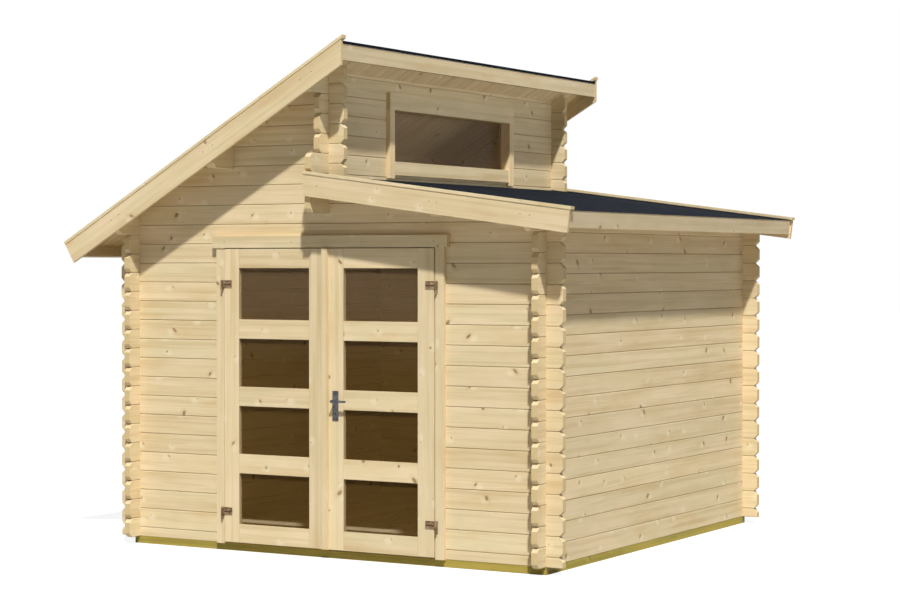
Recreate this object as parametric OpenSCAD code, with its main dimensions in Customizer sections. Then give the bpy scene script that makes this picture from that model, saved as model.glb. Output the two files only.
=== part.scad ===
// Log-built garden house: two staggered pent roofs, a clerestory wall with a
// fixed window between them, and a glazed double door in the front wall.
// Millimetres, +Z up, front wall facing -Y, origin on the ground under the
// middle of the footprint. The corner joints need the most care: logs of
// crossing walls lie half a row apart and are notched to half height, and
// their ends are bevelled above and below.

/* [House] */
// Width over the outer faces of the side walls
house_w = 2980; // [2500:10:3600]
// Depth over the outer faces of the front and back walls
house_d = 2980; // [2500:10:4200]
// Full log rows in a side wall below its plate log
log_rows = 16; // [16:1:18]

/* [Logs] */
// Cover height of one log
log_h = 121; // [112:1:135]
// Thickness of one log
log_t = 40; // [28:1:58]
// Length of a log end past the wall that it crosses
end_len = 108; // [80:1:140]
// Bevel on the upper and lower corner of a log end
end_bevel = 26; // [12:1:30]
// Depth of the V joint between two logs
joint_v = 4; // [2:1:6]
// Clearance at notches, grooves and rebates
play = 0.3; // [0.2:0.1:0.5]
// Clearance between pieces that lie on each other along a slope
bed = 0.1; // [0.05:0.05:0.3]

/* [Base and floor] */
// Height of the treated base beams
base_h = 45; // [40:1:70]
// Width of the treated base beams
base_w = 70; // [60:1:90]
// Number of floor joists, odd so that one lies on the middle line
joist_count = 5; // [3:2:7]
// Thickness of the floor boards
floor_t = 19; // [16:1:28]

/* [Roofs] */
// Slope of the steep upper roof in degrees
upper_pitch = 29.9; // [26:0.1:32]
// Slope of the shallow lower roof in degrees
lower_pitch = 7.5; // [5:0.1:9]
// Height of the left plate log at its outer face
left_plate_h = 130; // [110:1:150]
// Height of the right plate log at its outer face
right_plate_h = 128; // [110:1:140]
// Position of the clerestory wall's outer face from the middle
clerestory_x = 0; // [-60:10:60]
// Overhang of both roofs past the front and back walls
gable_over = 226; // [160:2:260]
// Overhang of the upper roof past the left wall
left_over = 372; // [300:2:420]
// Overhang of the upper roof past the clerestory wall
ridge_over = 228; // [180:2:280]
// Overhang of the lower roof past the right wall
right_over = 262; // [200:2:320]
// Thickness of the roof boards
deck_t = 19; // [16:1:22]
// Thickness of the roofing felt
felt_t = 3; // [2:1:5]
// Width of a purlin
purlin_w = 70; // [58:1:80]
// Height of the upper purlin at its middle
upper_purlin_h = 150; // [130:1:170]
// Height of the lower purlin at its middle
lower_purlin_h = 120; // [100:1:130]
// Distance of the lower purlin from the middle of the house
lower_purlin_x = 865; // [700:5:1000]

/* [Roof trim] */
// Thickness of verge boards and fascias
verge_t = 20; // [16:1:28]
// Height of the upper verge boards, square to the slope
upper_verge_h = 133; // [110:1:150]
// Height of the lower verge boards, square to the slope
lower_verge_h = 132; // [110:1:145]
// Rise of a verge board above the felt
verge_rise = 4; // [2:1:14]
// Thickness of the cap strip on a verge board
cap_t = 17; // [14:1:22]
// Width of the cap strip on a verge board
cap_w = 46; // [36:1:60]
// Height of the fascia boards at the two eaves
fascia_h = 97; // [85:1:110]
// Height of the fascia board under the ridge
ridge_fascia_h = 111; // [95:1:125]

/* [Door] */
// Clear width between the door jambs
door_w = 1532; // [1400:4:1600]
// Underside of the door head above the base beams
door_h = 1849; // [1820:1:1862]
// Gap round a door leaf
leaf_gap = 6; // [5:0.5:9]
// Thickness of a door leaf
leaf_t = 40; // [36:1:44]
// Gap under the leaves
leaf_foot = 12; // [8:1:20]
// Width of the outer stile of a leaf
stile_w = 112; // [95:1:125]
// Distance of the inner pane edges from the middle of the doorway
pane_in = 125; // [110:1:140]
// Height of the top rail of a leaf
top_rail = 119; // [100:1:135]
// Height of the bottom rail of a leaf
bottom_rail = 114; // [95:1:130]
// Height of the three rails between the panes
mid_rail = 119; // [100:1:135]
// Height by which the top and bottom panes are taller than the others
pane_more = 19; // [0:1:30]
// Thickness of the glass
glass_t = 4; // [3:1:6]
// Width of the strip that covers the joint of the leaves
strip_w = 42; // [36:1:50]
// Thickness of the strip that covers the joint of the leaves
strip_t = 20; // [14:1:24]

/* [Casings] */
// Width of the casing beside the door and the window
casing_w = 58; // [50:1:72]
// Depth by which the outer casing stands in front of the logs
casing_t = 28; // [22:1:32]
// Depth by which the inner casing stands behind the logs
lining_t = 18; // [14:1:24]
// Height of the trim board over the door
head_trim_h = 74; // [60:1:80]
// Length by which the head trim passes the casings at each end
head_ear = 26; // [15:1:40]

/* [Window] */
// Clear width between the window posts
window_w = 1532; // [1300:4:1600]
// Height of the window's lower rail
sill_h = 103; // [90:1:115]
// Height of the window's upper rail inside the log opening
lintel_h = 55; // [45:1:75]

/* [Hardware] */
// Height of the lower hinge above the base beams
hinge_low = 205; // [180:5:300]
// Height of the upper hinge above the base beams
hinge_high = 1625; // [1500:5:1700]
// Outer radius of a hinge knuckle
knuckle_r = 6.5; // [5.5:0.5:8]
// Radius of a hinge pin
pin_r = 4; // [3:0.5:4.5]
// Height of the lever above the base beams
lever_z = 917; // [850:1:1000]
// Distance of the lever spindle from the middle of the doorway
lever_x = 67; // [52:1:75]
// Length of the lever arm
lever_len = 98; // [90:1:125]

/* [Hidden] */

// colours of the real materials
spruce = "#e3cd9a";
treated = "#a09a45";
felt_blue = "#1f2c40";
smoked_glass = "#4a3a26";
zinc_brown = "#7a6248";
iron_grey = "#5c5d62";

// levels of the log work
half_w = house_w / 2;
half_d = house_d / 2;
wall_z = base_h;
plate_z = wall_z + log_rows * log_h;
gable_split_z = wall_z + (log_rows - 0.5) * log_h;
beam_z = plate_z + log_h;

// roof planes, given by the underside of the roof boards
tan_u = tan(upper_pitch);
tan_l = tan(lower_pitch);
cos_u = cos(upper_pitch);
cos_l = cos(lower_pitch);
function upper_under(x) = plate_z + left_plate_h + (x + half_w) * tan_u;
function lower_under(x) = plate_z + right_plate_h + (half_w - x) * tan_l;
cover_t = deck_t + felt_t;
roof_len = house_d + 2 * gable_over;
deck_len = roof_len - 2 * verge_t;
long_end = gable_over - verge_t;
long_x = half_d + long_end - play;
short_x = half_d + end_len;
ridge_x = clerestory_x + ridge_over;
left_eave_x = -half_w - left_over;
right_eave_x = half_w + right_over;
upper_purlin_x = (clerestory_x - half_w) / 2;
reach = half_w + 600;
eave_inset = 12;
left_fascia_x = left_eave_x + eave_inset;
left_deck_x = left_fascia_x + verge_t * cos_u;
right_fascia_x = right_eave_x - eave_inset;
right_deck_x = right_fascia_x - verge_t * cos_l;
felt_fold = 15;
ledger_w = 45;
verge_pass = 5;
cap_lip = 4;
cap_end = 8;
felt_clear = 4;
floor_gap = 2;

// rows between the roofs, counted from the roofs' heights at the clerestory
// wall: up to open_row of a log stays open under the lower roof, and the cut
// log under the upper roof keeps at least least_row
open_row = 0.2;
least_row = 0.4;
gable_rows = ceil((lower_under(clerestory_x) - gable_split_z) / log_h - open_row);
peak_z = gable_split_z + gable_rows * log_h;
peak_rows = ceil((upper_under(clerestory_x + end_len) - peak_z) / log_h) + 1;
under_window_rows = ceil((lower_under(clerestory_x) + cover_t / cos_l - beam_z) / log_h);
sill_log_z = beam_z + under_window_rows * log_h;
window_rows = floor((upper_under(clerestory_x - log_t) - sill_log_z) / log_h - least_row);
window_top_z = sill_log_z + window_rows * log_h;

// door and window
jamb_grip = 34;
wall_edge = door_w / 2 + jamb_grip;
stop_w = 14;
stop_gap = 5;
leaf_proud = 4;
leaf_out = -casing_t - leaf_proud;
leaf_in = leaf_out + leaf_t;
strip_shift = 3;
strip_left = -strip_w / 2 - strip_shift;
leaf_bottom_z = wall_z + leaf_foot;
leaf_top_z = wall_z + door_h - leaf_gap;
pane_w = door_w / 2 - leaf_gap - stile_w - pane_in;
pane_h = (leaf_top_z - leaf_bottom_z - top_rail - bottom_rail - 3 * mid_rail - 2 * pane_more) / 4;
pane_rebate = 10;
pane_lip = 16;
window_edge = window_w / 2 + jamb_grip;
window_trim_h = 111;
window_proud = 1;
casing_foot = 6;
glass_y = log_t + 4;
glass_bite = 9;
sill_rise = 26;
sill_bevel = 8;
head_proud = 6;
sill_trim_set = 6;
sill_trim_foot = 17;

// hardware
hinge_set = 11;
hinge_x = door_w / 2 + hinge_set;
strap_h = 45;
strap_t = 4;
strap_hold = 58;
strap_len = hinge_set + leaf_gap + strap_hold;
pintle_t = 3;
pintle_drop = 30;
knuckle_gap = 0.5;
hinge_y = -casing_t - pintle_t - knuckle_r - knuckle_gap;
plate_h = 182;
plate_w = 42;
plate_t = 3;
key_drop = 75;
key_foot = 45;
key_r = 4;
key_slot_w = 4;
key_slot_h = 13;
neck_r = 9;
spindle_bore = 11;
neck_len = 38;
arm_t = 11;
arm_bite = 2;
hub_r = 10;
arm_half = 8;
tip_r = 6.5;

// ---- log work -------------------------------------------------------------

// Corner points of a stack of log ends, from the bottom up: the row between
// z[i] and z[i + 1] reaches x[i]; foot and head bevel the lowest and highest
// corner, which a sawn log or a roof leaves square
function log_ends(x, z, foot, head) = concat(
    foot ? [[x[0] - end_bevel, z[0]], [x[0], z[0] + end_bevel]] : [[x[0], z[0]]],
    len(x) < 2 ? [] : [
        for (i = [1 : len(x) - 1])
            for (p = concat(
                [[x[i - 1], z[i] - end_bevel], [x[i - 1] - end_bevel, z[i]]],
                x[i] == x[i - 1] ? [] : [[x[i] - end_bevel, z[i]]],
                [[x[i], z[i] + end_bevel]]
            ))
                p
    ],
    head
        ? [[x[len(x) - 1], z[len(x)] - end_bevel], [x[len(x) - 1] - end_bevel, z[len(x)]]]
        : [[x[len(x) - 1], z[len(x)]]]
);

// The same points on the left-hand side, from the top down
function on_left(points) = [
    for (i = [len(points) - 1 : -1 : 0]) [-points[i][0], points[i][1]]
];

// n levels, one log apart
function levels(first, n) = [for (i = [0 : n - 1]) first + i * log_h];
function inner_levels(z) = len(z) < 3 ? [] : [for (i = [1 : len(z) - 2]) z[i]];

// Section across a log wall, drawn with its outer face on y = 0: both faces
// have V joints, and half of one at the foot and at a level top; a top that
// lies under a roof slopes from z_out to z_in instead
module log_section(z0, z_out, z_in, joints, length) {
    top = z_out == z_in
        ? [[0, z_out - joint_v], [joint_v, z_out], [log_t - joint_v, z_in], [log_t, z_in - joint_v]]
        : [[0, z_out], [log_t, z_in]];
    outer = [
        for (j = joints)
            for (s = [-1, 0, 1])
                [s == 0 ? joint_v : 0, j + s * joint_v]
    ];
    inner = [
        for (i = [len(joints) - 1 : -1 : 0])
            for (s = [1, 0, -1])
                [log_t - (s == 0 ? joint_v : 0), joints[i] + s * joint_v]
    ];
    rotate([90, 0, 90])
        translate([0, 0, -length / 2])
            linear_extrude(length)
                polygon(concat(
                    [[joint_v, z0], [0, z0 + joint_v]], outer, top,
                    inner, [[log_t, z0 + joint_v], [log_t - joint_v, z0]]
                ));
}

// Log wall along x with its outer face on y = 0: its elevation, drawn by the
// children, is cut from a wall of the right section
module log_wall(z0, z_out, z_in, joints, length) {
    intersection() {
        translate([0, log_t, 0])
            rotate([90, 0, 0])
                linear_extrude(log_t)
                    children();
        log_section(z0, z_out, z_in, joints, length);
    }
}

// Notches in an elevation for the logs of a wall that crosses it at
// x0 .. x0 + log_t: the crossing logs are half as high there
module notches(x0, middles) {
    for (z = middles)
        translate([x0 - play, z - log_h / 4 - play])
            square([log_t + 2 * play, log_h / 2 + 2 * play]);
}

// Slot in an elevation for a purlin
module purlin_slot(x, z) {
    translate([x - purlin_w / 2 - play, z - play])
        square([purlin_w + 2 * play, 2 * log_h]);
}

// Elevation of what lies under the two roofs
module under_roofs() {
    polygon([
        [-reach, 0], [reach, 0],
        [reach, lower_under(reach) - bed], [clerestory_x, lower_under(clerestory_x) - bed],
        [clerestory_x, upper_under(clerestory_x) - bed], [-reach, upper_under(-reach) - bed]
    ]);
}

module at_front() translate([0, -half_d, 0]) children();
module at_back() translate([0, half_d, 0]) mirror([0, 1, 0]) children();
module at_left() translate([-half_w, 0, 0]) rotate([0, 0, -90]) children();
module at_right() translate([half_w, 0, 0]) rotate([0, 0, 90]) children();
module at_clerestory() translate([clerestory_x, 0, 0]) rotate([0, 0, 90]) children();

// ---- base and floor -------------------------------------------------------

module base_end_beams() {
    color(treated)
        for (y = [-half_d, half_d - base_w])
            translate([-half_w, y, 0])
                cube([house_w, base_w, base_h]);
}

module base_side_beams() {
    color(treated)
        for (x = [-half_w, half_w - base_w])
            translate([x, -half_d + base_w, 0])
                cube([base_w, house_d - 2 * base_w, base_h]);
}

module floor_joists() {
    pitch = (house_d - 2 * base_w) / (joist_count + 1);
    color(treated)
        for (i = [0 : joist_count - 1])
            translate([-half_w + base_w, (i - (joist_count - 1) / 2) * pitch - base_w / 2, 0])
                cube([house_w - 2 * base_w, base_w, base_h]);
}

// The floor stops short of the door's threshold and linings
module floor_boards() {
    inset = log_t + floor_gap;
    notch_w = door_w + 2 * casing_w + 2 * floor_gap;
    color(spruce)
        difference() {
            translate([-half_w + inset, -half_d + inset, base_h])
                cube([house_w - 2 * inset, house_d - 2 * inset, floor_t]);
            translate([-notch_w / 2, -half_d, base_h - 1])
                cube([notch_w, log_t + lining_t + floor_gap, floor_t + 2]);
        }
}

// ---- front and back walls -------------------------------------------------

// Row levels of a front or back wall, which starts with a sawn half log
function front_levels(n) = concat([wall_z], levels(wall_z + log_h / 2, n));

module front_elevation_low() {
    rows = log_rows;
    difference() {
        polygon(concat(
            log_ends([for (i = [1 : rows]) half_w + end_len], front_levels(rows), false, true),
            [[wall_edge, gable_split_z], [wall_edge, wall_z]]
        ));
        notches(half_w - log_t, levels(wall_z + log_h / 2, rows));
    }
}

module front_wall_right() {
    color(spruce)
        at_front()
            log_wall(wall_z, gable_split_z, gable_split_z, levels(wall_z + log_h / 2, log_rows - 1),
                house_w + 2 * end_len + 2)
                front_elevation_low();
}

module front_wall_left() {
    color(spruce)
        mirror([1, 0, 0])
            front_wall_right();
}

// Rows that run the full width over the doorway, up to the level of the peak
module gable_elevation(z, foot) {
    ends = log_ends([for (i = [1 : len(z) - 1]) half_w + end_len], z, foot, false);
    crossings = levels(wall_z + log_h / 2, log_rows + 1);
    difference() {
        intersection() {
            polygon(concat(ends, on_left(ends)));
            under_roofs();
        }
        notches(half_w - log_t, crossings);
        notches(-half_w, crossings);
        notches(clerestory_x - log_t, levels(beam_z + log_h / 2, gable_rows - 1));
        purlin_slot(lower_purlin_x, lower_under(lower_purlin_x) - lower_purlin_h);
    }
}

module front_gable() {
    z = levels(gable_split_z, gable_rows + 1);
    color(spruce)
        at_front()
            log_wall(gable_split_z, peak_z, peak_z, inner_levels(z), house_w + 2 * end_len + 2)
                gable_elevation(z, true);
}

module back_wall() {
    z = front_levels(log_rows + gable_rows);
    color(spruce)
        at_back()
            log_wall(wall_z, peak_z, peak_z, levels(wall_z + log_h / 2, log_rows + gable_rows - 1),
                house_w + 2 * end_len + 2)
                gable_elevation(z, false);
}

// Rows under the steep roof that cross the clerestory wall
module peak_elevation() {
    z = levels(peak_z, peak_rows + 1);
    right_x = clerestory_x + end_len;
    roof_top = cover_t / cos_l + felt_clear;
    difference() {
        intersection() {
            polygon(concat(
                log_ends([for (i = [1 : peak_rows]) right_x], z, true, false),
                [[-half_w, z[peak_rows]], [-half_w, z[0]]]
            ));
            polygon([
                [-reach, 0], [reach, 0],
                [reach, upper_under(reach) - bed], [-reach, upper_under(-reach) - bed]
            ]);
        }
        notches(clerestory_x - log_t, levels(peak_z, peak_rows));
        purlin_slot(upper_purlin_x, upper_under(upper_purlin_x) - upper_purlin_h);
        polygon([
            [clerestory_x, 0], [reach, 0],
            [reach, lower_under(reach) + roof_top],
            [clerestory_x, lower_under(clerestory_x) + roof_top]
        ]);
    }
}

module peak() {
    top = peak_z + peak_rows * log_h;
    log_wall(peak_z, top, top, levels(peak_z + log_h, peak_rows - 2), 2 * reach)
        peak_elevation();
}

module peak_walls() {
    color(spruce) {
        at_front()
            peak();
        at_back()
            peak();
    }
}

// ---- side walls -----------------------------------------------------------

// Side walls start with a full log
module side_wall() {
    z = levels(wall_z, log_rows + 1);
    ends = log_ends([for (i = [1 : log_rows]) short_x], z, true, true);
    log_wall(wall_z, plate_z, plate_z, levels(wall_z + log_h, log_rows - 1), roof_len)
        difference() {
            polygon(concat(ends, on_left(ends)));
            for (x0 = [-half_d, half_d - log_t])
                notches(x0, z);
        }
}

module left_wall() {
    color(spruce)
        at_left()
            side_wall();
}

module right_wall() {
    color(spruce)
        at_right()
            side_wall();
}

// Long log on top of a side wall, planed to the roof's slope; its ends carry
// the roof edge past the front and back walls
module plate_log(plate_h, slope) {
    ends = log_ends([long_x], [plate_z, plate_z + plate_h + log_t], true, false);
    top = plate_z + plate_h - bed;
    log_wall(plate_z, top, top + log_t * slope, [], roof_len)
        difference() {
            polygon(concat(ends, on_left(ends)));
            for (x0 = [-half_d, half_d - log_t]) {
                notches(x0, [plate_z]);
                translate([x0 - play, plate_z + 0.75 * log_h - play])
                    square([log_t + 2 * play, log_h]);
            }
        }
}

module plate_logs() {
    color(spruce) {
        at_left()
            plate_log(left_plate_h, tan_u);
        at_right()
            plate_log(right_plate_h, tan_l);
    }
}

// ---- clerestory wall ------------------------------------------------------

module clerestory_notches(middles) {
    for (x0 = [-half_d, half_d - log_t])
        notches(x0, middles);
}

module clerestory_lower_logs() {
    z = levels(beam_z, under_window_rows + 1);
    ends = log_ends([for (i = [1 : under_window_rows]) long_x], z, true, true);
    color(spruce)
        at_clerestory()
            log_wall(beam_z, sill_log_z, sill_log_z, inner_levels(z), roof_len)
                difference() {
                    polygon(concat(ends, on_left(ends)));
                    clerestory_notches(z);
                }
}

module clerestory_side_logs() {
    z = levels(sill_log_z, window_rows + 1);
    ends = log_ends([for (i = [1 : window_rows]) i == 1 ? long_x : short_x], z, true, true);
    right = concat(ends, [[window_edge, window_top_z], [window_edge, sill_log_z]]);
    color(spruce)
        at_clerestory()
            log_wall(sill_log_z, window_top_z, window_top_z, inner_levels(z), roof_len)
                difference() {
                    union() {
                        polygon(right);
                        polygon(on_left(right));
                    }
                    clerestory_notches(z);
                }
}

module clerestory_top_log() {
    z = levels(window_top_z, 3);
    ends = log_ends([long_x], [z[0], z[2]], true, false);
    color(spruce)
        at_clerestory()
            log_wall(z[0], upper_under(clerestory_x) - bed, upper_under(clerestory_x - log_t) - bed,
                [], roof_len)
                difference() {
                    polygon(concat(ends, on_left(ends)));
                    clerestory_notches(z);
                }
}

// ---- roofs ----------------------------------------------------------------

// Point n above the underside of the steep or the shallow roof, square to it
function on_upper(x, n) = [x - n * sin(upper_pitch), upper_under(x) + n * cos_u];
function on_lower(x, n) = [x + n * sin(lower_pitch), lower_under(x) + n * cos_l];

// Layer between heights n0 and n1: square end at x0, plumb end at x1
module upper_layer(x0, x1, n0, n1, length) {
    rotate([90, 0, 0])
        translate([0, 0, -length / 2])
            linear_extrude(length)
                polygon([
                    on_upper(x0, n0),
                    [x1, upper_under(x1) + n0 / cos_u],
                    [x1, upper_under(x1) + n1 / cos_u],
                    on_upper(x0, n1)
                ]);
}

// Layer of the shallow roof: plumb end at x0, square end at x1
module lower_layer(x0, x1, n0, n1, length) {
    rotate([90, 0, 0])
        translate([0, 0, -length / 2])
            linear_extrude(length)
                polygon([
                    [x0, lower_under(x0) + n0 / cos_l],
                    on_lower(x1, n0),
                    on_lower(x1, n1),
                    [x0, lower_under(x0) + n1 / cos_l]
                ]);
}

// A copy at each gable of what the children draw round y = 0, at y and at -y
module both_gables(y) {
    for (side = [0, 1])
        mirror([0, side, 0])
            translate([0, y, 0])
                children();
}

module upper_roof_boards() {
    color(spruce)
        upper_layer(left_deck_x + bed, ridge_x - verge_t, 0, deck_t, deck_len);
}

// The felt folds down over the ridge fascia
module upper_roof_felt() {
    color(felt_blue) {
        upper_layer(left_fascia_x - felt_t, ridge_x, deck_t + bed, cover_t, deck_len);
        rotate([90, 0, 0])
            translate([0, 0, -deck_len / 2])
                linear_extrude(deck_len)
                    polygon([
                        [ridge_x, upper_under(ridge_x) + deck_t / cos_u - felt_fold],
                        [ridge_x + felt_t, upper_under(ridge_x) + deck_t / cos_u - felt_fold],
                        [ridge_x + felt_t, upper_under(ridge_x) + cover_t / cos_u],
                        [ridge_x, upper_under(ridge_x) + cover_t / cos_u]
                    ]);
    }
}

module lower_roof_boards() {
    color(spruce)
        lower_layer(clerestory_x + play, right_deck_x - bed, 0, deck_t, deck_len);
}

module lower_roof_felt() {
    color(felt_blue)
        lower_layer(clerestory_x + play, right_fascia_x + felt_t, deck_t + bed, cover_t, deck_len);
}

// Purlin from verge board to verge board, ends bevelled below, top on the roof
module purlin(x, z, height, slope) {
    tip = half_d + long_end - play;
    intersection() {
        translate([x + purlin_w / 2, 0, 0])
            rotate([90, 0, -90])
                linear_extrude(purlin_w)
                    polygon([
                        [-tip, z + 2 * height], [-tip, z + end_bevel], [-tip + end_bevel, z],
                        [tip - end_bevel, z], [tip, z + end_bevel], [tip, z + 2 * height]
                    ]);
        rotate([90, 0, 0])
            translate([0, 0, -roof_len / 2])
                linear_extrude(roof_len)
                    polygon([
                        [x - purlin_w / 2, z], [x + purlin_w / 2, z],
                        [x + purlin_w / 2, z + height - bed + slope * purlin_w / 2],
                        [x - purlin_w / 2, z + height - bed - slope * purlin_w / 2]
                    ]);
    }
}

module upper_purlin() {
    color(spruce)
        purlin(upper_purlin_x, upper_under(upper_purlin_x) - upper_purlin_h, upper_purlin_h, tan_u);
}

module lower_purlin() {
    color(spruce)
        purlin(lower_purlin_x, lower_under(lower_purlin_x) - lower_purlin_h, lower_purlin_h, -tan_l);
}

// Batten on the clerestory wall that carries the upper edge of the lower roof
module roof_ledger() {
    x0 = clerestory_x;
    x1 = clerestory_x + ledger_w;
    color(spruce)
        rotate([90, 0, 0])
            translate([0, 0, -half_d + log_t + play])
                linear_extrude(house_d - 2 * log_t - 2 * play)
                    polygon([
                        [x0, lower_under(x0) - ledger_w], [x1, lower_under(x0) - ledger_w],
                        [x1, lower_under(x1) - bed], [x0, lower_under(x0) - bed]
                    ]);
}

// ---- roof trim ------------------------------------------------------------

module upper_verge_boards() {
    top = cover_t + verge_rise;
    color(spruce)
        both_gables(-half_d - gable_over + verge_t / 2)
            upper_layer(left_eave_x, ridge_x + verge_pass, top - upper_verge_h, top, verge_t);
}

module lower_verge_boards() {
    top = cover_t + verge_rise;
    color(spruce)
        both_gables(-half_d - gable_over + verge_t / 2)
            lower_layer(clerestory_x - log_t, right_eave_x, top - lower_verge_h, top, verge_t);
}

module upper_verge_caps() {
    foot = cover_t + verge_rise + bed;
    color(spruce)
        both_gables(-half_d - gable_over - cap_lip + cap_w / 2)
            upper_layer(left_eave_x, ridge_x + verge_pass + cap_end, foot, foot + cap_t, cap_w);
}

// Where the long clerestory logs end, the cap is only as wide as its board
module lower_verge_caps() {
    foot = cover_t + verge_rise + bed;
    narrow = verge_t + cap_lip;
    color(spruce)
        both_gables(-half_d - gable_over - cap_lip)
            difference() {
                translate([0, cap_w / 2, 0])
                    lower_layer(clerestory_x - log_t, right_eave_x + cap_end, foot, foot + cap_t, cap_w);
                translate([clerestory_x - log_t - 1, narrow, 0])
                    cube([log_t + play + 1, cap_w, window_top_z]);
            }
}

module ridge_fascia() {
    foot = upper_under(ridge_x) + deck_t / cos_u - ridge_fascia_h;
    x0 = ridge_x - verge_t;
    color(spruce)
        rotate([90, 0, 0])
            translate([0, 0, -deck_len / 2])
                linear_extrude(deck_len)
                    polygon([
                        [x0, foot], [ridge_x, foot],
                        [ridge_x, upper_under(ridge_x) + deck_t / cos_u],
                        [x0, upper_under(x0) + deck_t / cos_u]
                    ]);
}

module left_fascia() {
    color(spruce)
        rotate([90, 0, 0])
            translate([0, 0, -deck_len / 2])
                linear_extrude(deck_len)
                    polygon([
                        on_upper(left_fascia_x, deck_t - fascia_h),
                        on_upper(left_deck_x, deck_t - fascia_h),
                        on_upper(left_deck_x, deck_t), on_upper(left_fascia_x, deck_t)
                    ]);
}

module right_fascia() {
    color(spruce)
        rotate([90, 0, 0])
            translate([0, 0, -deck_len / 2])
                linear_extrude(deck_len)
                    polygon([
                        on_lower(right_deck_x, deck_t - fascia_h),
                        on_lower(right_fascia_x, deck_t - fascia_h),
                        on_lower(right_fascia_x, deck_t), on_lower(right_deck_x, deck_t)
                    ]);
}

// ---- window ---------------------------------------------------------------

// U-shaped post that grips the sawn ends of the logs, seen from above; the
// clear opening ends at x = clear
module post_section(clear, edge) {
    difference() {
        translate([clear, -casing_t])
            square([casing_w, casing_t + log_t + lining_t]);
        translate([edge - play, -play])
            square([casing_w, log_t + 2 * play]);
    }
}

module window_posts() {
    clear = window_w / 2;
    color(spruce)
        at_clerestory()
            for (side = [0, 1])
                mirror([side, 0, 0])
                    difference() {
                        union() {
                            translate([0, 0, sill_log_z + play])
                                linear_extrude(window_top_z - lintel_h - sill_log_z - 2 * play)
                                    post_section(clear, window_edge);
                            translate([clear, -casing_t, sill_log_z - casing_foot])
                                cube([casing_w, casing_t - play, 2 * casing_foot]);
                        }
                        translate([clear - 1, glass_y - play, sill_log_z - 1])
                            cube([glass_bite + 1, glass_t + 2 * play, window_top_z - sill_log_z]);
                    }
}

// Lower and upper rail of the window, each with its trim board outside
module window_rails() {
    clear = window_w / 2;
    lower_top = sill_log_z + sill_h;
    upper_foot = window_top_z - lintel_h;
    color(spruce)
        at_clerestory() {
            difference() {
                union() {
                    translate([-clear + play, 0, sill_log_z + play])
                        cube([window_w - 2 * play, log_t + lining_t, sill_h - play]);
                    translate([-clear + play, -casing_t + sill_trim_set, sill_log_z + sill_trim_foot])
                        cube([window_w - 2 * play, casing_t, sill_h - sill_trim_foot]);
                }
                translate([-clear, glass_y - play, lower_top - glass_bite])
                    cube([window_w, glass_t + 2 * play, glass_bite + 1]);
            }
            difference() {
                union() {
                    translate([-window_edge + play, 0, upper_foot])
                        cube([2 * window_edge - 2 * play, log_t, lintel_h - play]);
                    translate([-clear - casing_w, -casing_t - window_proud, upper_foot])
                        cube([
                            window_w + 2 * casing_w,
                            casing_t + window_proud - play, window_trim_h
                        ]);
                    translate([-clear, -casing_t - window_proud, upper_foot])
                        cube([
                            window_w, window_proud + casing_t + log_t + lining_t,
                            lintel_h - play
                        ]);
                }
                translate([-clear - glass_bite, glass_y - play, upper_foot - 1])
                    cube([window_w + 2 * glass_bite, glass_t + 2 * play, glass_bite + 1]);
            }
        }
}

module window_glass() {
    clear = window_w / 2;
    color(smoked_glass)
        at_clerestory()
            translate([-clear - glass_bite + 1, glass_y, sill_log_z + sill_h - glass_bite + 1])
                cube([
                    window_w + 2 * glass_bite - 2, glass_t,
                    window_top_z - sill_log_z - sill_h - lintel_h + 2 * glass_bite - 2
                ]);
}

// ---- door frame -----------------------------------------------------------

module door_jambs() {
    clear = door_w / 2;
    color(spruce)
        at_front()
            for (side = [0, 1])
                mirror([side, 0, 0])
                    translate([0, 0, wall_z])
                        linear_extrude(door_h) {
                            post_section(clear, wall_edge);
                            translate([clear - stop_w, leaf_in + stop_gap])
                                square([stop_w + 1, log_t + lining_t - leaf_in - stop_gap]);
                        }
}

module door_head() {
    clear = door_w / 2;
    foot = wall_z + door_h;
    trim_w = door_w + 2 * casing_w + 2 * head_ear;
    color(spruce)
        at_front() {
            translate([-wall_edge + play, -play, foot])
                cube([2 * wall_edge - 2 * play, log_t + 2 * play, gable_split_z - foot - play]);
            translate([-trim_w / 2, -casing_t - head_proud, foot])
                cube([trim_w, casing_t + head_proud - play, head_trim_h]);
            translate([-clear - casing_w, log_t + play, foot])
                cube([door_w + 2 * casing_w, lining_t - play, head_trim_h]);
            translate([-clear + stop_w + play, leaf_in + stop_gap, foot - stop_w])
                cube([door_w - 2 * stop_w - 2 * play, log_t + lining_t - leaf_in - stop_gap, stop_w + 1]);
        }
}

module door_sill() {
    width = door_w - 2 * stop_w - 2 * play;
    depth = log_t + lining_t - leaf_in - stop_gap;
    color(spruce)
        at_front()
            translate([-width / 2, leaf_in + stop_gap, wall_z])
                rotate([90, 0, 90])
                    linear_extrude(width)
                        polygon([
                            [0, 0], [depth, 0], [depth, sill_rise],
                            [sill_bevel, sill_rise], [0, sill_rise - sill_bevel]
                        ]);
}

// Hinge halves on the casings: plate, lower knuckle and pin
module hinge_pintles() {
    color(zinc_brown)
        at_front()
            for (side = [0, 1], z = [hinge_low, hinge_high])
                mirror([side, 0, 0])
                    translate([hinge_x, 0, wall_z + z - strap_h / 2]) {
                        translate([-knuckle_r, -casing_t - pintle_t, -pintle_drop])
                            cube([2 * knuckle_r, pintle_t, pintle_drop + strap_h]);
                        translate([-pin_r, hinge_y, -pintle_drop])
                            cube([2 * pin_r, -casing_t - hinge_y - 1, pintle_drop - 1]);
                        translate([0, hinge_y, -pintle_drop])
                            cylinder(r = knuckle_r, h = pintle_drop - 1, $fn = 48);
                        translate([0, hinge_y, -2])
                            cylinder(r = pin_r, h = strap_h + 4, $fn = 48);
                    }
}

// ---- door leaves ----------------------------------------------------------

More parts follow.
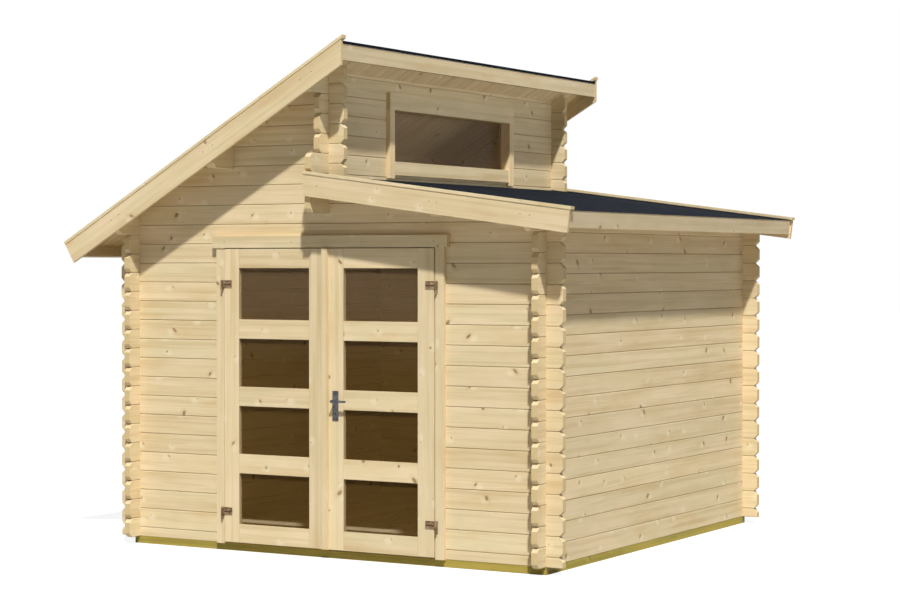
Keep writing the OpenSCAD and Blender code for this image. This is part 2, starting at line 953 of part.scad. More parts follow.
// Foot level and height of pane i, counted from the bottom
function pane_z(i) = leaf_bottom_z + bottom_rail + i * (pane_h + mid_rail) + (i > 0 ? pane_more : 0);
function pane_height(i) = pane_h + (i == 0 || i == 3 ? pane_more : 0);

// Leaf on the right-hand side from x0 to the outer edge, with four panes
// rebated from the inside
module leaf(x0) {
    x1 = door_w / 2 - leaf_gap;
    difference() {
        translate([x0, leaf_out, leaf_bottom_z])
            cube([x1 - x0, leaf_t, leaf_top_z - leaf_bottom_z]);
        for (i = [0 : 3]) {
            translate([pane_in, leaf_out - 1, pane_z(i)])
                cube([pane_w, leaf_t + 2, pane_height(i)]);
            translate([pane_in - pane_rebate, leaf_out + pane_lip, pane_z(i) - pane_rebate])
                cube([pane_w + 2 * pane_rebate, leaf_t, pane_height(i) + 2 * pane_rebate]);
        }
    }
}

module panes() {
    for (i = [0 : 3])
        translate([pane_in - pane_rebate + 1, leaf_out + pane_lip + play, pane_z(i) - pane_rebate + 1])
            cube([
                pane_w + 2 * pane_rebate - 2, glass_t,
                pane_height(i) + 2 * pane_rebate - 2
            ]);
}

// Hinge halves on a leaf: strap and knuckle, turning on the pins
module hinge_straps() {
    for (z = [hinge_low, hinge_high])
        translate([0, 0, wall_z + z - strap_h / 2])
            difference() {
                union() {
                    translate([hinge_x - strap_len, leaf_out - strap_t, 0])
                        cube([strap_len, strap_t, strap_h]);
                    translate([hinge_x, hinge_y, 0])
                        cylinder(r = knuckle_r, h = strap_h, $fn = 48);
                }
                translate([hinge_x, hinge_y, -1])
                    cylinder(r = pin_r + play, h = strap_h + 2, $fn = 48);
            }
}

module left_leaf() {
    color(spruce)
        at_front()
            mirror([1, 0, 0])
                leaf(-strip_left + leaf_gap);
}

module left_panes() {
    color(smoked_glass)
        at_front()
            mirror([1, 0, 0])
                panes();
}

module left_hinge_straps() {
    color(zinc_brown)
        at_front()
            mirror([1, 0, 0])
                hinge_straps();
}

module right_leaf() {
    color(spruce)
        at_front()
            difference() {
                leaf(strip_left);
                translate([lever_x, leaf_out - 1, wall_z + lever_z])
                    rotate([-90, 0, 0])
                        cylinder(r = spindle_bore, h = leaf_t + 2, $fn = 48);
            }
}

module right_panes() {
    color(smoked_glass)
        at_front()
            panes();
}

module right_hinge_straps() {
    color(zinc_brown)
        at_front()
            hinge_straps();
}

module meeting_strip() {
    color(spruce)
        at_front()
            translate([strip_left, leaf_out - strip_t, leaf_bottom_z])
                cube([strip_w, strip_t, leaf_top_z - leaf_bottom_z]);
}

// ---- handle ---------------------------------------------------------------

// Long plates inside and outside, with bores for the lever and the key
module handle_plates() {
    foot = wall_z + lever_z - key_drop - key_foot;
    color(iron_grey)
        at_front()
            for (y = [leaf_out - plate_t, leaf_in])
                difference() {
                    translate([lever_x - plate_w / 2, y, foot])
                        cube([plate_w, plate_t, plate_h]);
                    translate([lever_x, y - 1, wall_z + lever_z])
                        rotate([-90, 0, 0])
                            cylinder(r = neck_r + play, h = plate_t + 2, $fn = 48);
                    translate([lever_x, y - 1, wall_z + lever_z - key_drop])
                        rotate([-90, 0, 0])
                            cylinder(r = key_r, h = plate_t + 2, $fn = 32);
                    translate([lever_x - key_slot_w / 2, y - 1, wall_z + lever_z - key_drop - key_slot_h])
                        cube([key_slot_w, plate_t + 2, key_slot_h]);
                }
}

// One arm in its own plane: a round hub, a tapering bar and a round tip
module lever_arm() {
    tip_x = lever_len - tip_r;
    circle(r = hub_r, $fn = 48);
    polygon([[0, arm_half], [tip_x, tip_r], [tip_x, -tip_r], [0, -arm_half]]);
    translate([tip_x, 0])
        circle(r = tip_r, $fn = 48);
}

module lever() {
    color(iron_grey)
        at_front()
            translate([lever_x, 0, wall_z + lever_z])
                rotate([90, 0, 0]) {
                    translate([0, 0, -leaf_in - plate_t - neck_len])
                        cylinder(r = neck_r, h = leaf_t + 2 * plate_t + 2 * neck_len, $fn = 48);
                    translate([0, 0, -leaf_out + plate_t + neck_len - arm_bite])
                        linear_extrude(arm_t)
                            lever_arm();
                    translate([0, 0, -leaf_in - plate_t - neck_len + arm_bite - arm_t])
                        linear_extrude(arm_t)
                            lever_arm();
                }
}

base_end_beams();
base_side_beams();
floor_joists();
floor_boards();
front_wall_left();
front_wall_right();
front_gable();
back_wall();
peak_walls();
left_wall();
right_wall();
plate_logs();
clerestory_lower_logs();
clerestory_side_logs();
clerestory_top_log();
upper_purlin();
lower_purlin();
roof_ledger();
upper_roof_boards();
upper_roof_felt();
lower_roof_boards();
lower_roof_felt();
upper_verge_boards();
upper_verge_caps();
lower_verge_boards();
lower_verge_caps();
ridge_fascia();
left_fascia();
right_fascia();
window_posts();
window_rails();
window_glass();
door_jambs();
door_head();
door_sill();
hinge_pintles();
left_leaf();
left_panes();
left_hinge_straps();
right_leaf();
right_panes();
right_hinge_straps();
meeting_strip();
handle_plates();
lever();
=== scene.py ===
"""Looks of a log-built garden house, put together in the order in which the real one is built."""

import math

import bmesh
import bpy
import numpy as np
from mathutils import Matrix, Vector


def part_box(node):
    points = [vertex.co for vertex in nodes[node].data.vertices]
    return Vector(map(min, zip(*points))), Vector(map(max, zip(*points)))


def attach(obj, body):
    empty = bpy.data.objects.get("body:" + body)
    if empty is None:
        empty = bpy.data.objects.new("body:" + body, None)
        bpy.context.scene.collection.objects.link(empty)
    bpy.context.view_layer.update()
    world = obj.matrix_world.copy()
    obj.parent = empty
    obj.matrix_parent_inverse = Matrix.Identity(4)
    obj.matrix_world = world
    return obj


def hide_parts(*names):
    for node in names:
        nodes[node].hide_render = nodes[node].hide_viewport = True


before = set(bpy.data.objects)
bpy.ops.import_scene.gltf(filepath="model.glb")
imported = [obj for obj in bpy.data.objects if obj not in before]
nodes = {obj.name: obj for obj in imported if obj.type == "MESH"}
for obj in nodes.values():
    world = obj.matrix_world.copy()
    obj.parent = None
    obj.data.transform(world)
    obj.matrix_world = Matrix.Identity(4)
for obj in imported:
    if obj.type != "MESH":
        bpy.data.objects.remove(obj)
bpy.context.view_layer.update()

# ---- base beams and joists ---------------------------------------------------
# Pressure-treated spruce beams and joists, laid flat on the ground. The salts
# leave them olive green, lighter where the timber is dense, with dull ends.

# turns that lay the timber pattern's grain along x, along y or upright
ALONG_X = (0.0, 0.0, 0.0)
ALONG_Y = (0.0, 0.0, -math.pi / 2)
UPRIGHT = (0.0, math.pi / 2, 0.0)


class Finish:
    """A finish being mixed: each call adds one node and hands back its output."""

    def __init__(self, name, rough, specular):
        self.material = bpy.data.materials.new(name)
        self.material.use_nodes = True
        self.tree = self.material.node_tree
        self.shader = self.tree.nodes["Principled BSDF"]
        self.shader.inputs["Roughness"].default_value = rough
        self.shader.inputs["Specular IOR Level"].default_value = specular

    def put(self, kind, sockets=(), out=0, **settings):
        """Adds a node, links or sets each of its sockets, and returns one output."""
        node = self.tree.nodes.new("ShaderNode" + kind)
        for key, value in settings.items():
            setattr(node, key, value)
        for key, value in dict(sockets).items():
            if isinstance(value, bpy.types.NodeSocket):
                self.tree.links.new(value, node.inputs[key])
            else:
                node.inputs[key].default_value = value
        return node.outputs[out]

    def place(self):
        """Where a point lies, in metres."""
        return self.put("TexCoord", out=3)

    def calc(self, operation, *values):
        """One step of arithmetic."""
        return self.put("Math", dict(enumerate(values)), operation=operation)

    def vector(self, operation, *values, out=0):
        """One step of arithmetic on three numbers at once; out 1 is a length."""
        return self.put("VectorMath", dict(enumerate(values)), out, operation=operation)

    def split(self, value):
        """The three numbers of a point or a colour."""
        node = self.tree.nodes.new("ShaderNodeSeparateXYZ")
        self.tree.links.new(value, node.inputs[0])
        return list(node.outputs)

    def join(self, *values):
        """A point from its three numbers."""
        return self.put("CombineXYZ", dict(enumerate(values)))

    def fade(self, value, low, high, floor=0.0, top=1.0):
        """Rises smoothly from floor to top as value goes from low to high."""
        return self.put(
            "MapRange",
            {"Value": value, "From Min": low, "From Max": high, "To Min": floor, "To Max": top},
            interpolation_type="SMOOTHSTEP",
        )

    def noise(self, place, stretch, detail, rough=0.5, out=0):
        """Cloudy noise on a place that is stretched by three factors."""
        return self.put(
            "TexNoise",
            {"Vector": self.vector("MULTIPLY", place, stretch),
             "Scale": 1.0, "Detail": detail, "Roughness": rough},
            out,
        )

    def mix(self, share, under, over, blend="MIX"):
        """Lays a share of one colour over another; 6, 7 and 2 are the colour sockets."""
        return self.put(
            "Mix", {0: share, 6: under, 7: over}, 2, data_type="RGBA", blend_type=blend
        )

    def tint(self, r, g, b):
        """A plain colour."""
        return (r, g, b, 1.0)

    def close(self, colour, height=None, depth=0.001, strength=0.5, rough=None):
        """Joins colour, bump and roughness to the shader and returns the material."""
        self.tree.links.new(colour, self.shader.inputs["Base Color"])
        if rough is not None:
            self.tree.links.new(rough, self.shader.inputs["Roughness"])
        if height is not None:
            bump = self.put("Bump", {"Height": height, "Distance": depth, "Strength": strength})
            self.tree.links.new(bump, self.shader.inputs["Normal"])
        return self.material


def knots_in(f, place, along, level, shift, share):
    """Knots of a log or board: each one's tone, a distance from it and its four masks.

    A knot is a slanted oval round the point of a cell pattern in (along, level), which is
    stretched with the grain, and share of the cells have one. The distance is that from
    the oval's middle over its radius, which is smallest plus spread times a squared
    chance number. The masks are a dark heart, a warm rim, a wide halo and a pale patch of
    curly grain to one side.
    """
    cell_u, cell_v = 0.36, 0.095
    smallest, spread = 0.0025, 0.0085
    far_off = 9.0
    grid = f.join(
        f.calc("DIVIDE", along, cell_u),
        f.calc("ADD", f.calc("DIVIDE", level, cell_v), shift),
        0.0,
    )
    cells = f.tree.nodes.new("ShaderNodeTexVoronoi")
    cells.voronoi_dimensions = "2D"
    cells.inputs["Scale"].default_value = 1.0
    f.tree.links.new(grid, cells.inputs["Vector"])
    size_luck, share_luck, tone_luck = f.split(cells.outputs["Color"])
    off = f.vector("SUBTRACT", grid, cells.outputs["Position"])
    off_u, off_v = f.split(f.vector("MULTIPLY", off, (cell_u, cell_v, 0.0)))[:2]
    missing = f.calc("MULTIPLY", f.calc("GREATER_THAN", share_luck, share), far_off)
    slant = f.calc("MULTIPLY_ADD", tone_luck, 1.5, -0.75)
    oval = f.join(
        f.calc("MULTIPLY_ADD", slant, off_v, off_u), f.calc("MULTIPLY", off_v, 0.78), missing
    )
    wobble = f.put("TexNoise", {"Vector": place, "Scale": 90.0, "Detail": 2.0})
    apart = f.calc("MULTIPLY_ADD", wobble, 0.003, f.vector("LENGTH", oval, out=1))
    radius = f.calc("MULTIPLY_ADD", f.calc("POWER", size_luck, 2.0), spread, smallest)
    distance = f.calc("DIVIDE", apart, radius)
    heart = f.fade(distance, 1.6, 0.5)
    rim = f.calc("MULTIPLY", f.fade(distance, 0.7, 1.05), f.fade(distance, 1.6, 1.15))
    halo = f.fade(distance, 4.6, 0.9)
    beside = f.join(
        f.calc("MULTIPLY_ADD", slant, 0.045, off_u), f.calc("MULTIPLY_ADD", off_v, 1.3, 0.016),
        missing,
    )
    curl = f.calc("MULTIPLY", f.fade(f.vector("LENGTH", beside, out=1), 0.042, 0.008),
                  f.fade(distance, 1.0, 2.2))
    return tone_luck, distance, heart, rim, halo, curl


def summer_wood(f, solid, level, depth, luck_b, luck_c, bulge):
    """Dark summer wood of the growth rings, which rises to 1 at the end of each year.

    A year is a step of ring_wide in the distance from the pith. The pith wanders slowly
    along the log and lies up to pith_depth behind the face, and bulge, which is added to
    the distance, bends the rings round the knots.
    """
    ring_wide, pith_depth = 0.0044, 0.08
    slow = f.noise(solid, (0.55, 2.0, 2.0), 2.0, 0.4, out=1)
    drift_v, drift_w = f.split(f.vector("SUBTRACT", slow, (0.5, 0.5, 0.5)))[:2]
    pith = f.calc("MULTIPLY_ADD", drift_v, 0.13, f.calc("MULTIPLY_ADD", luck_b, 0.1, -0.05))
    rise = f.calc("SUBTRACT", level, pith)
    back = f.calc("PINGPONG", f.calc("MULTIPLY_ADD", luck_c, pith_depth, depth), pith_depth)
    back = f.calc("ADD", back, f.calc("MULTIPLY_ADD", drift_w, 0.03, 0.01))
    reach = f.vector("LENGTH", f.join(rise, back, 0.0), out=1)
    year = f.calc("FRACT", f.calc("DIVIDE", f.calc("ADD", reach, bulge), ring_wide))
    return f.calc("MULTIPLY", f.calc("POWER", year, 3.0), f.fade(year, 1.0, 0.9))


def grain(f, turn, across, row, seed, early, late, end, knots=0.3, joint=0.0):
    """Solid pattern of sawn spruce; returns its colour and its height.

    The place is turned so that u runs with the grain, v across the broad face and w
    through it. row is the axis that logs or boards follow each other on, the first one's
    start and their pitch, and the row number, the floor of (place - start) / pitch, gives
    each its own chance numbers, which slide the pattern along and move its pith. Broad
    faces so show stripes and flames, and sawn ends show arcs. knots is the share of cells
    with a knot, and joint is half the width of the painted shadow line between two rows.
    """
    coord = f.tree.nodes.new("ShaderNodeTexCoord")
    place = f.put("Mapping", {"Vector": coord.outputs["Object"], "Rotation": turn})
    facing = f.put("Mapping", {"Vector": coord.outputs["Normal"], "Rotation": turn})
    parts = f.split(place)
    u, v, w = parts[0], parts[across], parts[3 - across]
    axis, start, pitch = row
    rows_up = f.calc("DIVIDE", f.calc("SUBTRACT", parts[axis], start), pitch)
    number = f.calc("FLOOR", rows_up)
    ticket = f.calc("MULTIPLY_ADD", number, 1.37, seed)
    luck_a, luck_b, luck_c = f.split(
        f.put("TexWhiteNoise", {"W": ticket}, 1, noise_dimensions="1D")
    )
    level = v
    if axis == across:
        middle = f.calc("MULTIPLY_ADD", f.calc("ADD", number, 0.5), pitch, start)
        level = f.calc("SUBTRACT", v, middle)
    along = f.calc("MULTIPLY_ADD", luck_a, 17.0, u)
    solid = f.join(along, v, w)

    shift = f.calc("MULTIPLY", luck_b, 9.0)
    tone_luck, distance, heart, rim, halo, curl = knots_in(f, place, along, level, shift, knots)
    bulge = f.calc("MULTIPLY", f.fade(distance, 3.6, 0.8), 0.004)
    summer = summer_wood(f, solid, level, w, luck_b, luck_c, bulge)
    fibre = f.noise(solid, (6.0, 330.0, 330.0), 3.0, 0.6)
    streak = f.noise(solid, (0.7, 30.0, 30.0), 3.0, 0.55)
    patch = f.noise(solid, (2.6, 9.0, 9.0), 2.0)

    # rings, streaks and the log's own tone
    sawn = f.fade(f.calc("ABSOLUTE", f.split(facing)[0]), 0.62, 0.9)
    share = f.calc("MULTIPLY", summer, f.fade(sawn, 0.0, 1.0, 0.5, 0.75))
    colour = f.mix(share, f.tint(*early), f.tint(*late))
    colour = f.mix(f.fade(streak, 0.42, 0.7, 0.0, 0.6), colour, f.tint(*late))
    tone = f.mix(luck_c, f.tint(1.015, 0.97, 0.92), f.tint(0.99, 1.0, 0.97))
    tone = f.mix(f.fade(patch, 0.42, 0.72, 0.0, 0.8), tone, f.tint(1.09, 1.05, 1.08))
    tone = f.mix(f.fade(patch, 0.44, 0.26, 0.0, 0.8), tone, f.tint(0.96, 0.88, 0.78))
    colour = f.mix(1.0, colour, tone, "MULTIPLY")
    light = f.calc("MULTIPLY_ADD", fibre, 0.2, f.fade(luck_a, 0.0, 1.0, 0.86, 0.94))
    colour = f.put("VectorMath", {0: colour, "Scale": light}, operation="SCALE")

    # sawn ends, knots and the painted shadow in the joints
    colour = f.mix(sawn, colour, f.mix(share, f.tint(*end), f.tint(*late)))
    face = f.calc("SUBTRACT", 1.0, sawn)
    for mask, strength, shade in (
        (curl, 0.5, f.tint(min(1.0, early[0] * 1.12), early[1] * 1.17, early[2] * 1.32)),
        (halo, 0.32, f.tint(late[0] * 0.95, late[1] * 0.82, late[2] * 0.66)),
        (heart, 0.85, f.mix(tone_luck, f.tint(0.24, 0.125, 0.045), f.tint(0.38, 0.22, 0.09))),
        (rim, 0.45, f.tint(0.12, 0.06, 0.02)),
    ):
        colour = f.mix(f.calc("MULTIPLY", f.calc("MULTIPLY", mask, strength), face), colour, shade)
    if joint:
        # painted shade: the colour is darkened along each joint, as if the V groove lay in shadow
        over = f.calc("MULTIPLY", f.calc("FRACT", rows_up), pitch)
        nearest = f.calc("PINGPONG", over, pitch / 2)
        shadow = f.calc("MULTIPLY", f.fade(nearest, joint * 1.5, joint * 0.5), 0.48)
        colour = f.mix(shadow, colour, f.tint(0.15, 0.095, 0.045))
    height = f.calc(
        "ADD",
        f.calc("MULTIPLY_ADD", summer, 0.35, f.calc("MULTIPLY", fibre, 0.45)),
        f.calc("MULTIPLY", rim, -0.8),
    )
    return colour, height


def timber(name, turn, across, row, seed, early, late, end, knots=0.3, joint=0.0):
    """A finish of plain sawn or planed timber."""
    f = Finish(name, 0.66, 0.25)
    colour, height = grain(f, turn, across, row, seed, early, late, end, knots, joint)
    return f.close(colour, height, 0.0006, 0.6)


def dress(finish, *names):
    """Gives a finish to CAD nodes."""
    for name in names:
        slots = nodes[name].data.materials
        slots.clear()
        slots.append(finish)


OLIVE = {"early": (0.44, 0.35, 0.075), "late": (0.25, 0.225, 0.046), "end": (0.38, 0.30, 0.09)}
dress(timber("treated_beam_ends", ALONG_X, 2, (1, 0.0, 1.0), 3.1, **OLIVE), "base_end_beams")
dress(timber("treated_beam_sides", ALONG_Y, 2, (1, 0.0, 1.0), 4.3, **OLIVE), "base_side_beams")
dress(timber("treated_joists", ALONG_X, 1, (1, -0.03, 0.47), 5.7, **OLIVE), "floor_joists")

# ---- floor -------------------------------------------------------------------
# Tongued and grooved spruce boards nailed across the joists, 90 mm wide with a
# small V at each joint. They stop short of the threshold and its linings.

SPRUCE = {"early": (0.77, 0.655, 0.43), "late": (0.61, 0.475, 0.265), "end": (0.665, 0.51, 0.27)}


def shell(name, corners, faces, finish, body):
    """A new piece from its corners and faces, with every closed shell turned outwards."""
    mesh = bpy.data.meshes.new(name)
    mesh.from_pydata(np.asarray(corners, float).reshape(-1, 3).tolist(), [], faces)
    work = bmesh.new()
    work.from_mesh(mesh)
    bmesh.ops.recalc_face_normals(work, faces=work.faces)
    work.to_mesh(mesh)
    work.free()
    piece = bpy.data.objects.new(name, mesh)
    bpy.context.scene.collection.objects.link(piece)
    mesh.materials.append(finish)
    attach(piece, body)
    return piece


def bars(name, near, far, finish, body):
    """Straight bars: bar i runs from the closed outline near[i] to the outline far[i].

    near and far are arrays of n bars by k points by 3. Each side is one quad between two
    neighbouring points of both outlines, and the two outlines close the ends.
    """
    n, k = near.shape[:2]
    corners = np.stack([near, far], axis=1)
    first = (np.arange(n) * 2 * k)[:, None]
    i = np.arange(k)
    j = (i + 1) % k
    sides = np.stack([first + i, first + j, first + k + j, first + k + i], axis=-1)
    faces = sides.reshape(-1, 4).tolist()
    faces += (first + i).tolist() + (first + k + i[::-1]).tolist()
    return shell(name, corners, faces, finish, body)


def board_outline(pitch, thick):
    """Section of a board, (across, up): a flat bar with both lower edges bevelled."""
    vee, gap = 0.0022, 0.0003
    return np.array([
        [gap, vee], [gap + vee, 0.0], [pitch - gap - vee, 0.0], [pitch - gap, vee],
        [pitch - gap, thick], [gap, thick],
    ])


low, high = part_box("floor_boards")
floor_count = 32
floor_pitch = (high.x - low.x) / floor_count
floor_left = low.x + floor_pitch * np.arange(floor_count)
outline = board_outline(floor_pitch, high.z - low.z)
outline[:, 1] = (high.z - low.z) - outline[:, 1]
jamb_low, jamb_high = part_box("door_jambs")
margin, lining_gap = 0.01, 0.003
behind_door = floor_left > jamb_low.x - margin - floor_pitch
behind_door &= floor_left < jamb_high.x + margin
floor_front = np.where(behind_door, jamb_high.y + lining_gap, low.y)
near = np.zeros((floor_count, len(outline), 3))
near[:, :, 0] = floor_left[:, None] + outline[:, 0]
near[:, :, 1] = floor_front[:, None]
near[:, :, 2] = low.z + outline[:, 1]
far = near.copy()
far[:, :, 1] = high.y
floor_finish = timber("floor_spruce", ALONG_Y, 1, (1, -high.x, floor_pitch), 11.2, joint=0.0012,
                      **SPRUCE)
floor_piece = bars("floor_planks", near, far, floor_finish, "house")
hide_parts("floor_boards")

# ---- log walls ---------------------------------------------------------------
# Planed spruce logs, 121 mm high, stacked on tongues with a V at each joint.
# Front and back rows start with a sawn half log, so they lie half a row apart
# from the side rows and every crossing log is notched over the next.

ROW = 0.121
BASE_TOP = 0.045
# rows of logs, the front ones starting half a log lower, and one row for a whole piece
FRONT_ROWS = (2, BASE_TOP + ROW / 2 - ROW, ROW)
SIDE_ROWS = (2, BASE_TOP, ROW)
WHOLE = (1, 0.0, 10.0)
for name, along, rows, seed, walls in (
    ("front_logs", ALONG_X, FRONT_ROWS, 21.0,
     ("front_wall_left", "front_wall_right", "front_gable")),
    ("back_logs", ALONG_X, FRONT_ROWS, 57.0, ("back_wall",)),
    ("peak_logs", ALONG_X, FRONT_ROWS, 83.0, ("peak_walls",)),
    ("left_logs", ALONG_Y, SIDE_ROWS, 131.0, ("left_wall",)),
    ("right_logs", ALONG_Y, SIDE_ROWS, 177.0, ("right_wall",)),
    ("clerestory_logs", ALONG_Y, SIDE_ROWS, 212.0,
     ("clerestory_lower_logs", "clerestory_side_logs", "clerestory_top_log")),
):
    dress(timber(name, along, 2, rows, seed, knots=0.4, joint=0.0022, **SPRUCE), *walls)
dress(timber("plate_log_spruce", ALONG_Y, 2, WHOLE, 191.0, **SPRUCE), "plate_logs")

# ---- purlins and ledger ------------------------------------------------------
# One solid purlin under each roof and a batten on the clerestory wall, planed
# spruce of a coarser cut than the logs, with bevelled heads at both gables.

dress(timber("purlin_spruce", ALONG_Y, 2, (1, 0.3, 1.2), 233.0, knots=0.35, **SPRUCE),
      "upper_purlin", "lower_purlin", "roof_ledger")

# ---- roof boards -------------------------------------------------------------
# 19 mm tongued and grooved boards from eave to ridge, nailed to plate logs and
# purlins. The V joints show from below and through the clerestory window.

# painted light: the roof boards are coloured lighter than the wall spruce, to brighten the shaded
# soffits
ROOF_SPRUCE_PAINTED_LIGHT = {
    "early": (0.93, 0.755, 0.47), "late": (0.80, 0.595, 0.33), "end": (0.74, 0.57, 0.31),
}
UPPER_PITCH = math.radians(29.9)
LOWER_PITCH = math.radians(7.5)
DECK = 0.019
ROOF_BOARDS = 35


def roof_planks(name, node, pitch, x0, x1, ends, finish):
    """Boards in the space of a roof slab.

    A point at height n over the underside at x stands at z(x) + n / cos(pitch), with
    z(x) = z0 + tan(pitch) * (x - x0). ends gives, for the low and the high x, how far the
    end leans back with n: sin(pitch) for an end square to the slope, 0 for a plumb one.
    It hands back z0.
    """
    low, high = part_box(node)
    wide = (high.y - low.y) / ROOF_BOARDS
    outline = board_outline(wide, DECK)
    base = low.z if pitch > 0 else high.z - DECK / math.cos(pitch)

    def outline_at(x, lean):
        points = np.zeros((ROOF_BOARDS, len(outline), 3))
        points[:, :, 0] = x - outline[:, 1] * lean
        points[:, :, 1] = low.y + wide * np.arange(ROOF_BOARDS)[:, None] + outline[:, 0]
        points[:, :, 2] = (
            base + math.tan(pitch) * (points[:, :, 0] - x0) + outline[:, 1] / math.cos(pitch)
        )
        return points

    piece = bars(name, outline_at(x0, ends[0]), outline_at(x1, ends[1]), finish, "house")
    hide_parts(node)
    return base


low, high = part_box("upper_roof_boards")
board_row = (1, low.y, (high.y - low.y) / ROOF_BOARDS)
upper_x0 = low.x + DECK * math.sin(UPPER_PITCH)
upper_base = roof_planks(
    "upper_roof_planks", "upper_roof_boards", UPPER_PITCH, upper_x0, high.x,
    (math.sin(UPPER_PITCH), 0.0),
    timber("upper_roof_spruce", (0.0, UPPER_PITCH, 0.0), 1, board_row, 251.0,
           joint=0.0018, **ROOF_SPRUCE_PAINTED_LIGHT),
)
low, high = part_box("lower_roof_boards")
lower_x0 = low.x
lower_base = roof_planks(
    "lower_roof_planks", "lower_roof_boards", -LOWER_PITCH, lower_x0,
    high.x - DECK * math.sin(LOWER_PITCH), (0.0, -math.sin(LOWER_PITCH)),
    timber("lower_roof_spruce", (0.0, -LOWER_PITCH, 0.0), 1, board_row, 269.0,
           joint=0.0018, **ROOF_SPRUCE_PAINTED_LIGHT),
)

# ---- roofing felt ------------------------------------------------------------
# Mineral-surfaced bitumen felt in metre-wide strips, lapped 100 mm for the rain,
# folded down over the ridge fascia and held by flat blackened nails. Weather has
# washed faint streaks down the slopes and left silt along the laps.

felt = Finish("mineral_felt", 0.95, 0.06)
coord = felt.place()
grit = felt.put("TexVoronoi", {"Vector": coord, "Scale": 520.0}, 1)
grit_tone = felt.split(grit)[0]
cloud = felt.put("TexNoise", {"Vector": coord, "Scale": 2.3, "Detail": 4.0})
slate = felt.mix(grit_tone, felt.tint(0.0015, 0.003, 0.006), felt.tint(0.0055, 0.0095, 0.018))
slate = felt.mix(felt.fade(cloud, 0.42, 0.6), slate, felt.tint(0.0055, 0.008, 0.013))
wash = felt.noise(coord, (0.7, 9.0, 0.7), 4.0)
slate = felt.mix(felt.fade(wash, 0.46, 0.72, 0.0, 0.5), slate, felt.tint(0.0095, 0.012, 0.0155))
silt = felt.put("Attribute", out=2, attribute_name="silt")
slate = felt.mix(felt.calc("MULTIPLY", silt, 0.6), slate, felt.tint(0.021, 0.024, 0.027))
granules = felt.put("TexVoronoi", {"Vector": coord, "Scale": 520.0})
FELT = felt.close(slate, granules, 0.0008, 0.8)
FELT_TOP, LAP_TOP = 0.0019, 0.003


def deck_top(x, pitch, x0, z0):
    """Height of the deck's upper face at x: z0 + tan(pitch) (x - x0), plus its thickness."""
    return z0 + math.tan(pitch) * (x - x0) + DECK / math.cos(pitch)


def felt_sheet(name, node, pitch, x0, z0, x_low, x_high, laps, fold):
    """Felt over a deck: a closed profile across the slope, carried along y.

    Its top lies FELT_TOP over the deck, and LAP_TOP at each lap, where it falls back over
    lap_run up the slope. A slow wave of height swell, the product of two sines, keeps the
    sheet from looking planed. fold is the height of the strip folded down past the ridge.
    The attribute silt is 1 at a lap's edge and falls to 0 over silt_run up from it.
    """
    low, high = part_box(node)
    along_count, slope_count = 41, 30
    lap_run, silt_run = 0.15, 0.05
    swell, underside = 0.0003, 0.0001
    near_lap = np.array([0.0, 0.0008, 0.02, 0.06])
    y = np.linspace(low.y, high.y, along_count)
    slope = np.unique(np.concatenate([
        np.linspace(0.0, 1.0, slope_count), *[s + near_lap for s in laps],
    ]))
    x = x_low + (x_high - x_low) * slope
    up = slope if pitch > 0 else 1.0 - slope
    run = abs(x_high - x_low) / math.cos(pitch)
    top = np.full(len(slope), FELT_TOP)
    silt = np.zeros(len(slope))
    for s in laps:
        rise = (up - s) * run
        eased = LAP_TOP - (LAP_TOP - FELT_TOP) * rise / lap_run
        top = np.where((rise >= 0) & (rise < lap_run), eased, top)
        silt = np.where((rise >= 0) & (rise < silt_run), 1.0 - rise / silt_run, silt)
    wave = swell * np.sin(5.1 * y[:, None] + 1.3) * np.sin(7.7 * x[None, :] + 0.6)
    cos = math.cos(pitch)
    deck_z = deck_top(x, pitch, x0, z0)
    n, m = len(y), len(x)
    upper = np.zeros((n, m, 3))
    upper[:, :, 0] = x
    upper[:, :, 1] = y[:, None]
    upper[:, :, 2] = deck_z + (top + wave) / cos
    lower = upper.copy()
    lower[:, :, 2] = deck_z + underside
    loop = [upper]
    if fold:
        edge_z = deck_z[-1]
        turn = np.array([
            [x_high + 0.0016, edge_z + 0.0016], [x_high + 0.0029, edge_z],
            [x_high + 0.0028, edge_z - fold], [x_high + 0.0004, edge_z - fold],
            [x_high + 0.0004, edge_z - 0.0008],
        ])
        corner = np.zeros((n, len(turn), 3))
        corner[:, :, 0] = turn[:, 0]
        corner[:, :, 1] = y[:, None]
        corner[:, :, 2] = turn[:, 1]
        loop.append(corner)
    loop.append(lower[:, ::-1])
    ring = np.concatenate(loop, axis=1)
    k = ring.shape[1]
    rows = (np.arange(n - 1) * k)[:, None]
    i = np.arange(k)
    j = (i + 1) % k
    sides = np.stack([rows + i, rows + j, rows + k + j, rows + k + i], axis=-1)
    faces = sides.reshape(-1, 4).tolist()
    for start in (0, (n - 1) * k):
        back = start + k - 1 - np.arange(m)
        cap = np.stack([start + np.arange(m - 1), start + np.arange(1, m),
                        back[1:], back[:-1]], axis=-1)
        faces += cap.tolist()
        if fold:
            faces.append((start + np.arange(m - 1, k - m + 1)).tolist())
    piece = shell(name, ring, faces, FELT, "house")
    dusted = np.zeros((n, k))
    dusted[:, :m] = silt
    piece.data.attributes.new("silt", "FLOAT", "POINT").data.foreach_set("value", dusted.ravel())
    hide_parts(node)


low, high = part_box("upper_roof_felt")
ridge_x = high.x - LAP_TOP
upper_eave = low.x + (DECK + LAP_TOP) * math.sin(UPPER_PITCH)
felt_sheet("upper_felt_sheet", "upper_roof_felt", UPPER_PITCH, upper_x0, upper_base,
           upper_eave - DECK * math.sin(UPPER_PITCH), ridge_x, laps=(0.37, 0.745), fold=0.015)
low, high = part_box("lower_roof_felt")
felt_sheet("lower_felt_sheet", "lower_roof_felt", -LOWER_PITCH, lower_x0, lower_base,
           low.x, high.x - 0.001, laps=(0.5,), fold=0.0)


